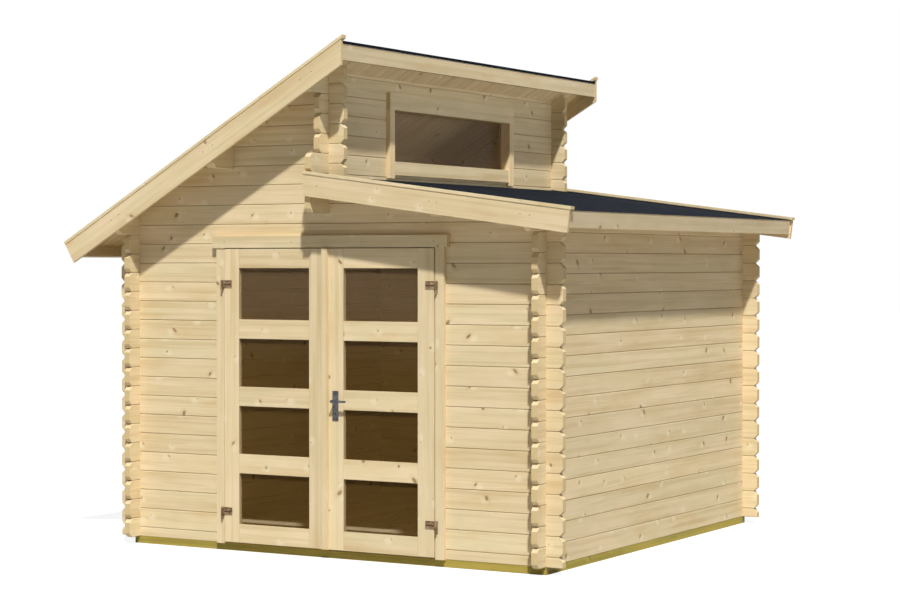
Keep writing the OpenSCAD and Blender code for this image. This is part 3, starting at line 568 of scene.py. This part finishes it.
def heads(name, spots, outward, radius, rise, finish, body, recess=False, around=10):
    """Nail or screw heads: a profile of radius over height, spun round each spot's axis.

    spots is n by 3 and outward is one direction or n of them. The profile's numbers are
    shares of the head's radius and of its rise. A recess is a round dip in the middle of
    the head, as of a screw.
    """
    spots = np.asarray(spots, float).reshape(-1, 3)
    axis = np.broadcast_to(np.asarray(outward, float), spots.shape)
    axis = axis / np.linalg.norm(axis, axis=1, keepdims=True)
    helper = np.where(np.abs(axis[:, 2:3]) > 0.9, [[1.0, 0, 0]], [[0, 0, 1.0]])
    one = np.cross(helper, axis)
    one = one / np.linalg.norm(one, axis=1, keepdims=True)
    two = np.cross(axis, one)
    if recess:
        profile = np.array([
            [1.0, -0.2], [1.0, 0.35], [0.8, 0.85], [0.5, 1.0], [0.42, 0.35], [0.1, 0.2],
        ])
    else:
        profile = np.array([[1.0, -0.2], [1.0, 0.5], [0.7, 0.9], [0.2, 1.0]])
    angle = np.linspace(0.0, 2 * math.pi, around, endpoint=False)
    circle = np.cos(angle)[:, None] * one[:, None, :] + np.sin(angle)[:, None] * two[:, None, :]
    points = (
        spots[:, None, None, :]
        + radius * profile[None, :, None, 0:1] * circle[:, None, :, :]
        + rise * profile[None, :, None, 1:2] * axis[:, None, None, :]
    )
    n, k = len(spots), len(profile)
    first = (np.arange(n) * k * around)[:, None, None]
    level = (np.arange(k - 1) * around)[None, :, None]
    i = np.arange(around)[None, None, :]
    j = (i + 1) % around
    sides = np.stack([first + level + i, first + level + j,
                      first + level + around + j, first + level + around + i], axis=-1)
    faces = sides.reshape(-1, 4).tolist()
    start = first[:, 0, 0][:, None]
    faces += (start + np.arange(around)[::-1]).tolist()
    faces += (start + (k - 1) * around + np.arange(around)).tolist()
    return shell(name, points, faces, finish, body)


def metal(name, dark, bright, rough, scale, metallic=0.8):
    """A finish of plated or painted metal, clouded and a little worn."""
    f = Finish(name, rough, 0.5)
    f.shader.inputs["Metallic"].default_value = metallic
    place = f.place()
    cloud = f.put("TexNoise", {"Vector": place, "Scale": scale, "Detail": 5.0, "Roughness": 0.6})
    fine = f.put("TexNoise", {"Vector": place, "Scale": scale * 9.0, "Detail": 2.0})
    colour = f.mix(f.fade(cloud, 0.35, 0.68), f.tint(*dark), f.tint(*bright))
    return f.close(colour, fine, 0.0003, 0.35, f.fade(cloud, 0.3, 0.7, rough - 0.08, rough + 0.1))


BLACKENED = metal("blackened_nail_steel", (0.012, 0.013, 0.016), (0.04, 0.042, 0.05), 0.5, 60.0)
NAIL_RADIUS, NAIL_RISE = 0.004, 0.0012
fold_out, fold_down, upper_inset, lower_inset = 0.0027, 0.008, 0.02, 0.03

nail_y = np.linspace(-1.63, 1.63, 34)
fold_z = deck_top(ridge_x, UPPER_PITCH, upper_x0, upper_base) - fold_down
upper_row = upper_eave + upper_inset
upper_row_z = deck_top(upper_row, UPPER_PITCH, upper_x0, upper_base) + FELT_TOP
lower_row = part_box("lower_roof_felt")[1].x - lower_inset
lower_row_z = deck_top(lower_row, -LOWER_PITCH, lower_x0, lower_base) + FELT_TOP
for name, x, z, outward, rise in (
    ("ridge_felt_nails", ridge_x + fold_out, fold_z, (1, 0, 0), 0.0011),
    ("upper_eave_nails", upper_row, upper_row_z,
     (-math.sin(UPPER_PITCH), 0, math.cos(UPPER_PITCH)), NAIL_RISE),
    ("lower_eave_nails", lower_row, lower_row_z,
     (math.sin(LOWER_PITCH), 0, math.cos(LOWER_PITCH)), NAIL_RISE),
):
    spots = np.stack([np.full(len(nail_y), x), nail_y, np.full(len(nail_y), z)], axis=1)
    heads(name, spots, outward, NAIL_RADIUS, rise, BLACKENED, "house", around=8)

# ---- verge boards, caps and fascias ------------------------------------------
# Planed spruce boards on the ends of the plate logs and purlins, with a cap
# strip on each verge that covers the edge of the felt, all screwed on.

for which, slope, seed in (("upper", UPPER_PITCH, 301.0), ("lower", -LOWER_PITCH, 313.0)):
    along = (0.0, slope, 0.0)
    dress(timber(which + "_verge_spruce", along, 2, WHOLE, seed, knots=0.42, **SPRUCE),
          which + "_verge_boards")
    dress(timber(which + "_cap_spruce", along, 1, WHOLE, seed + 31.0, knots=0.2, **SPRUCE),
          which + "_verge_caps")
WEATHERED = {"early": (0.68, 0.58, 0.39), "late": (0.53, 0.42, 0.245), "end": (0.64, 0.50, 0.28)}
dress(timber("fascia_spruce", ALONG_Y, 2, (1, 0.4, 1.0), 359.0, knots=0.3, **WEATHERED),
      "ridge_fascia", "left_fascia", "right_fascia")

YELLOWED = metal("yellowed_screw_steel", (0.22, 0.17, 0.10), (0.40, 0.32, 0.20), 0.42, 90.0)
SCREW_RADIUS = 0.0036
FLUSH_RISE = 0.0006

low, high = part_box("upper_verge_boards")
under_deck = 0.055
steep_x = np.array([-1.5, -1.44, -0.78, -0.71, -0.06, 0.02])
steep_z = deck_top(steep_x, UPPER_PITCH, upper_x0, upper_base) - under_deck
shallow_x = np.array([0.06, 0.84, 0.89, 1.44, 1.5])
shallow_z = deck_top(shallow_x, -LOWER_PITCH, lower_x0, lower_base) - under_deck
screws_x = np.concatenate([steep_x, shallow_x])
screws_z = np.concatenate([steep_z, shallow_z])
for name, y, way in (("front_verge_screws", low.y, -1), ("back_verge_screws", high.y, 1)):
    heads(name, np.stack([screws_x, np.full(len(screws_x), y), screws_z], axis=1), (0, way, 0),
          SCREW_RADIUS, FLUSH_RISE, YELLOWED, "house", recess=True)

# ---- clerestory window -------------------------------------------------------
# A fixed pane in grooved spruce posts and rails that grip the sawn log ends,
# with wider trim boards outside. The brown-smoked glass is painted paler higher
# up, as a painted reflection of the sky; the door panes are cut from the same glass.

# painted light: the window posts are coloured paler than the wall spruce, to brighten them in the
# shade
PALE_PAINTED_LIGHT = {"early": (0.86, 0.70, 0.44), "late": (0.72, 0.54, 0.30), "end": (0.72, 0.55, 0.295)}
dress(timber("window_post_spruce", UPRIGHT, 1, WHOLE, 401.0, knots=0.3, **PALE_PAINTED_LIGHT), "window_posts")
rail_parting = 2.5
dress(timber("window_rail_spruce", ALONG_Y, 2, (2, rail_parting, 10.0), 409.0, knots=0.35,
             **SPRUCE), "window_rails")

pane = Finish("smoked_pane", 0.05, 0.14)
coord = pane.place()
veil = pane.put("TexNoise", {"Vector": coord, "Scale": 1.7, "Detail": 3.0})
smoke = pane.mix(veil, pane.tint(0.155, 0.084, 0.013), pane.tint(0.215, 0.12, 0.03))
# painted reflection of the sky: the glass is tinted paler from this height upwards
sky_pale_from, sky_pale_full = 1.1, 1.62
painted_sky_share = pane.fade(pane.split(coord)[2], sky_pale_from, sky_pale_full)
painted_sky_tint = pane.mix(veil, pane.tint(0.24, 0.15, 0.07), pane.tint(0.32, 0.205, 0.11))
smoke = pane.mix(painted_sky_share, smoke, painted_sky_tint)
pane.shader.inputs["Alpha"].default_value = 0.22
pane.shader.inputs["IOR"].default_value = 1.5
PANE = pane.close(smoke)
dress(PANE, "window_glass", "left_panes", "right_panes")

# ---- door frame --------------------------------------------------------------
# Spruce jambs with casings outside and linings inside, a head with a wider trim
# board, and a bevelled threshold, all slid over the sawn ends of the logs.

ONE_PIECE = (2, 0.0, 10.0)
for name, along, across, seed, knots, node in (
    ("jamb_spruce", UPRIGHT, 2, 431.0, 0.3, "door_jambs"),
    ("head_spruce", ALONG_X, 2, 443.0, 0.3, "door_head"),
    ("threshold_spruce", ALONG_X, 1, 457.0, 0.2, "door_sill"),
):
    dress(timber(name, along, across, ONE_PIECE, seed, knots=knots, **SPRUCE), node)

low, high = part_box("door_head")
trim_x = np.linspace(-0.76, 0.76, 4)
trim_screws = np.stack([trim_x, np.full(4, low.y), np.full(4, low.z + 0.05)], axis=1)
heads("head_trim_screws", trim_screws, (0, -1, 0), SCREW_RADIUS, FLUSH_RISE, YELLOWED,
      "house", recess=True)

# ---- door leaves -------------------------------------------------------------
# Framed and glazed spruce leaves: two stiles run the full height, five rails
# are tenoned between them, and mitred beads hold each pane from inside.

STILE_IN, STILE_OUT = 0.125, 0.648
STILE_PITCH, RAIL_PITCH = 0.386, 0.43


def joinery(name, seed):
    """Rails between |x| = STILE_IN and STILE_OUT run with x, the stiles beside them run
    upright, and a fine dark line marks the shoulder where they meet."""
    f = Finish(name, 0.6, 0.28)
    stile, stile_height = grain(f, UPRIGHT, 2, (2, 0.0, STILE_PITCH), seed, knots=0.5, **SPRUCE)
    rail_rows = (2, 0.02, RAIL_PITCH)
    rail, rail_height = grain(f, ALONG_X, 2, rail_rows, seed + 40.0, knots=0.6, **SPRUCE)
    x = f.calc("ABSOLUTE", f.split(f.place())[0])
    inside = f.calc("MULTIPLY", f.calc("GREATER_THAN", x, STILE_IN),
                    f.calc("LESS_THAN", x, STILE_OUT))
    near = f.calc("MINIMUM", f.calc("ABSOLUTE", f.calc("SUBTRACT", x, STILE_IN)),
                  f.calc("ABSOLUTE", f.calc("SUBTRACT", x, STILE_OUT)))
    line = f.fade(near, 0.0009, 0.0002)
    colour = f.mix(inside, stile, rail)
    colour = f.mix(f.calc("MULTIPLY", line, 0.55), colour, f.tint(0.16, 0.09, 0.04))
    height = f.calc("ADD", f.calc("MULTIPLY", inside, rail_height),
                    f.calc("MULTIPLY", f.calc("SUBTRACT", 1.0, inside), stile_height))
    return f.close(colour, height, 0.0006, 0.55)


dress(joinery("left_leaf_spruce", 503.0), "left_leaf")
dress(joinery("right_leaf_spruce", 547.0), "right_leaf")
dress(timber("strip_spruce", UPRIGHT, 2, (2, -9.0, 20.0), 571.0, knots=0.15, **SPRUCE),
      "meeting_strip")


def beads(name, node, body, finish):
    """Glazing beads: a quarter-round profile carried round every pane, mitred at corners.

    The profile gives the distance inwards from the rebate and the depth over the glass; a
    corner's point lies that distance inwards along both sides of the pane.
    """
    mesh = nodes[node].data
    place = np.zeros(len(mesh.vertices) * 3)
    mesh.vertices.foreach_get("co", place)
    place = place.reshape(-1, 3)
    rebate, play = 0.001, 0.0003
    flat, shank, curve = 0.0033, 0.006, 0.0065
    x0, x1 = place[:, 0].min() - rebate, place[:, 0].max() + rebate
    glass_y = place[:, 1].max() + 0.0002
    levels = np.unique(np.round(place[:, 2], 5)).reshape(-1, 2) + [-rebate, rebate]
    turn = np.linspace(0.0, math.pi / 2, 5)
    profile = np.concatenate([
        [[play, 0.0], [flat + curve, 0.0]],
        np.stack([flat + curve * np.cos(turn), shank + curve * np.sin(turn)], axis=1),
        [[play, shank + curve]],
    ])
    k = len(profile)
    corner_x = np.array([x0, x1, x1, x0])
    way_x = np.array([1, -1, -1, 1])
    way_z = np.array([1, 1, -1, -1])
    corner_z = np.stack([levels[:, 0], levels[:, 0], levels[:, 1], levels[:, 1]], axis=1)
    points = np.zeros((len(levels), 4, k, 3))
    points[..., 0] = corner_x[None, :, None] + way_x[None, :, None] * profile[None, None, :, 0]
    points[..., 1] = glass_y + profile[None, None, :, 1]
    points[..., 2] = corner_z[:, :, None] + way_z[None, :, None] * profile[None, None, :, 0]
    first = (np.arange(len(levels)) * 4 * k)[:, None, None]
    side = np.arange(4)[None, :, None]
    i = np.arange(k)[None, None, :]
    j = (i + 1) % k
    after = (side + 1) % 4
    faces = np.stack([first + side * k + i, first + side * k + j,
                      first + after * k + j, first + after * k + i], axis=-1)
    return shell(name, points, faces.reshape(-1, 4).tolist(), finish, body)


BEAD = timber("bead_spruce", ALONG_X, 2, (2, 0.0, RAIL_PITCH), 587.0, knots=0.1, **SPRUCE)
beads("left_glazing_beads", "left_panes", "left_door", BEAD)
beads("right_glazing_beads", "right_panes", "right_door", BEAD)

# ---- hinges ------------------------------------------------------------------
# Lift-off hinges of zinc-plated steel gone brown: a plate with a pin on each
# casing and a strap with a knuckle on each leaf, held by round-headed screws.

HINGE = metal("zinc_brown_steel", (0.18, 0.105, 0.05), (0.44, 0.315, 0.19), 0.42, 34.0, 0.55)
# painted shade: the pressed ribs get a darker steel than the straps, standing for the dark bands
# of shade on them
RIB_PAINTED_SHADE = metal("rib_steel_painted_shade", (0.05, 0.026, 0.009), (0.11, 0.062, 0.025), 0.45, 60.0, 0.5)
dress(HINGE, "hinge_pintles", "left_hinge_straps", "right_hinge_straps")

hinge_middles = (0.25, 1.67)
rib_low_high = ((0.0185, 0.0028), (-0.004, 0.0052))
rib_inner, rib_outer, rib_proud = 0.706, 0.762, 0.0022
holes = ((0.716, 0.0085), (0.716, -0.0155), (0.744, -0.0155))
ribs = np.array([(z + dz, half) for z in hinge_middles for dz, half in rib_low_high])
turn = np.linspace(0.0, math.pi, 7)
for side, door in ((-1, "left"), (1, "right")):
    strap_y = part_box(door + "_leaf")[0].y - 0.003
    near = np.zeros((len(ribs), len(turn), 3))
    near[:, :, 0] = side * rib_inner
    near[:, :, 1] = strap_y + 0.0002 - rib_proud * np.sin(turn)
    near[:, :, 2] = ribs[:, :1] + ribs[:, 1:] * np.cos(turn)
    far = near.copy()
    far[:, :, 0] = side * rib_outer
    bars(door + "_strap_ribs", near, far, RIB_PAINTED_SHADE, door + "_door")
    spots = np.array([(side * x, strap_y, z + dz) for z in hinge_middles for x, dz in holes])
    heads(door + "_strap_screws", spots, (0, -1, 0), SCREW_RADIUS, 0.0018, YELLOWED,
          door + "_door", recess=True, around=14)

# ---- handle ------------------------------------------------------------------
# Long dark grey plates inside and outside joined by screws, a round-necked lever
# on each side, and near-black plates behind the keyholes as painted shade inside them.

IRON = metal("satin_iron", (0.10, 0.10, 0.112), (0.20, 0.195, 0.20), 0.32, 26.0)
dress(IRON, "handle_plates", "lever")

low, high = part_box("handle_plates")
middle_x = (low.x + high.x) / 2
from_end, plate_screw_radius, plate_screw_rise = 0.012, 0.004, 0.0012
for name, y, way in (("outer_plate_screws", low.y, -1), ("inner_plate_screws", high.y, 1)):
    spots = [(middle_x, y, low.z + from_end), (middle_x, y, high.z - from_end)]
    heads(name, spots, (0, way, 0), plate_screw_radius, plate_screw_rise, IRON, "right_door",
          recess=True, around=14)

# painted shade: near-black plates stand for the shade inside the keyholes
dark = Finish("lock_shadow", 0.8, 0.1)
shade_speckle = dark.put("TexNoise", {"Vector": dark.place(), "Scale": 400.0})
black = dark.mix(shade_speckle, dark.tint(0.004, 0.004, 0.005), dark.tint(0.012, 0.012, 0.014))
SHADOW = dark.close(black)
leaf_low, leaf_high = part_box("right_leaf")
key_height = 0.045
key_z = low.z + key_height
shade_plate = np.array([[-0.011, -0.022], [0.011, -0.022], [0.011, 0.011], [-0.011, 0.011]])
shade_plate_out, shade_plate_in = 0.0012, 0.0001
near = np.zeros((2, len(shade_plate), 3))
near[:, :, 0] = middle_x + shade_plate[:, 0]
near[:, :, 2] = key_z + shade_plate[:, 1]
far = near.copy()
near[:, :, 1] = [[leaf_low.y - shade_plate_out], [leaf_high.y + shade_plate_out]]
far[:, :, 1] = [[leaf_low.y - shade_plate_in], [leaf_high.y + shade_plate_in]]
bars("lock_shade_plates", near, far, SHADOW, "right_door")

# ---- ground, light and camera ------------------------------------------------
# A pale level floor, one sun from the front right, an even white sky, and a
# low softbox over the shallow roof that lifts the shade below the ridge.

ground_mesh = bpy.data.meshes.new("ground")
half_side = 60
ground_mesh.from_pydata(
    [(x * half_side, y * half_side, 0) for x, y in ((-1, -1), (1, -1), (1, 1), (-1, 1))],
    [], [(0, 1, 2, 3)],
)
ground = bpy.data.objects.new("ground", ground_mesh)
bpy.context.scene.collection.objects.link(ground)
paper = Finish("pale_floor", 1.0, 0.0)
# plain pale grey to the house, and to the camera nearly white with a faint shadow
paper.shader.inputs["Base Color"].default_value = paper.tint(0.51, 0.505, 0.49)
path = paper.tree.nodes.new("ShaderNodeLightPath")
glow = paper.put("Emission", {"Color": paper.tint(1.0, 1.0, 1.0), "Strength": 0.9})
shaded = paper.put("BsdfDiffuse", {"Color": paper.tint(0.2, 0.2, 0.2)})
both = paper.put("AddShader", {0: glow, 1: shaded})
choice = paper.tree.nodes.new("ShaderNodeMixShader")
paper.tree.links.new(path.outputs["Is Camera Ray"], choice.inputs[0])
paper.tree.links.new(paper.shader.outputs[0], choice.inputs[1])
paper.tree.links.new(both, choice.inputs[2])
paper.tree.links.new(choice.outputs[0], paper.tree.nodes["Material Output"].inputs[0])
ground_mesh.materials.append(paper.material)

world = bpy.data.worlds.new("even_sky")
bpy.context.scene.world = world
world.use_nodes = True
# white to the camera and in glass and metal, and a weak fill light for the rest
sky = world.node_tree
path = sky.nodes.new("ShaderNodeLightPath")
clear = path.outputs["Is Camera Ray"]
for ray in ("Is Glossy Ray", "Is Transmission Ray"):
    either = sky.nodes.new("ShaderNodeMath")
    either.operation = "MAXIMUM"
    sky.links.new(clear, either.inputs[0])
    sky.links.new(path.outputs[ray], either.inputs[1])
    clear = either.outputs[0]
power = sky.nodes.new("ShaderNodeMapRange")
power.inputs["To Min"].default_value = 0.08
power.inputs["To Max"].default_value = 1.0
sky.links.new(clear, power.inputs["Value"])
sky.links.new(power.outputs[0], sky.nodes["Background"].inputs["Strength"])
sky.nodes["Background"].inputs["Color"].default_value = (1.0, 1.0, 1.0, 1.0)


def lamp(name, kind, energy, colour, towards):
    """A lamp that shines along a direction."""
    light = bpy.data.objects.new(name, bpy.data.lights.new(name, kind))
    bpy.context.scene.collection.objects.link(light)
    light.data.energy = energy
    light.data.color = colour
    light.rotation_mode = "QUATERNION"
    light.rotation_quaternion = Vector(towards).to_track_quat("-Z", "Y")
    return light


softbox = lamp("low_softbox", "AREA", 3.6, (1.0, 0.99, 0.97), (-2.4, 0.0, 0.3))
softbox.data.shape = "RECTANGLE"
softbox.data.size = 3.2
softbox.data.size_y = 0.4
softbox.data.spread = math.radians(60.0)
softbox.location = (2.6, 0.0, 2.6)
softbox.visible_camera = False
softbox.visible_glossy = False

sun = lamp("sun", "SUN", 4.32, (1.0, 0.985, 0.955), (-0.752, 1.0, -1.72))
sun.data.angle = math.radians(2.2)

lens = bpy.data.cameras.new("camera")
lens.lens = 87.516
lens.sensor_width = 36.0
camera = bpy.data.objects.new("camera", lens)
bpy.context.scene.collection.objects.link(camera)
camera.location = (7.306, -12.658, 1.796)
camera.rotation_euler = (math.radians(90 - 0.951), 0.0, math.radians(30.028))
bpy.context.scene.camera = camera
bpy.context.scene.view_settings.view_transform = "Standard"
